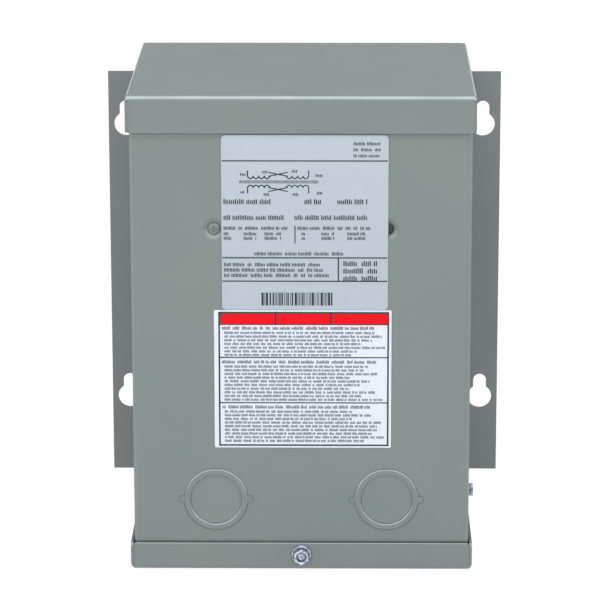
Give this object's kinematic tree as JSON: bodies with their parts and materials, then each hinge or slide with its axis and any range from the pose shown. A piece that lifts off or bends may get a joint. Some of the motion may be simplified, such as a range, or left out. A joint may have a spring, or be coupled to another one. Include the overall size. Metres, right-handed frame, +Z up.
{
  "type": "buck-boost transformer",
  "caption": "Small enclosed buck-boost transformer: a folded grey sheet-metal box on a flat wall plate with keyholes, with knockouts below and a blank nameplate.",
  "frame": {"origin": "on the wall face (the back of the mounting plate), at the middle of the wide ends of the four keyholes", "axes": "+X right seen from the front, +Y into the wall, +Z up"},
  "size_m": [0.2286, 0.1719, 0.2658],
  "materials": {
    "case_paint": "satin grey baked enamel",
    "plate_paint": "satin grey baked enamel",
    "compound": "matte casting compound with sand",
    "zinc": "bright zinc plate",
    "dark_steel": "black oxide on steel",
    "foil": "silver label stock",
    "label_white": "white label stock",
    "label_ink": "black print",
    "label_red": "red print"
  },
  "bodies": {
    "root": {"mounting_plate": "plate_paint", "case_wrap": "case_paint", "top_cover": "case_paint", "bottom_cover": "case_paint", "potted_core": "compound", "cover_screw": "zinc", "side_screw": "zinc", "left_front_screw": "case_paint", "right_front_screw": "dark_steel", "left_knockout_ring": "case_paint", "right_knockout_ring": "case_paint", "left_knockout_disc": "case_paint", "right_knockout_disc": "case_paint", "nameplate": "foil", "lower_label": "label_white"}
  },
  "joints": []
}
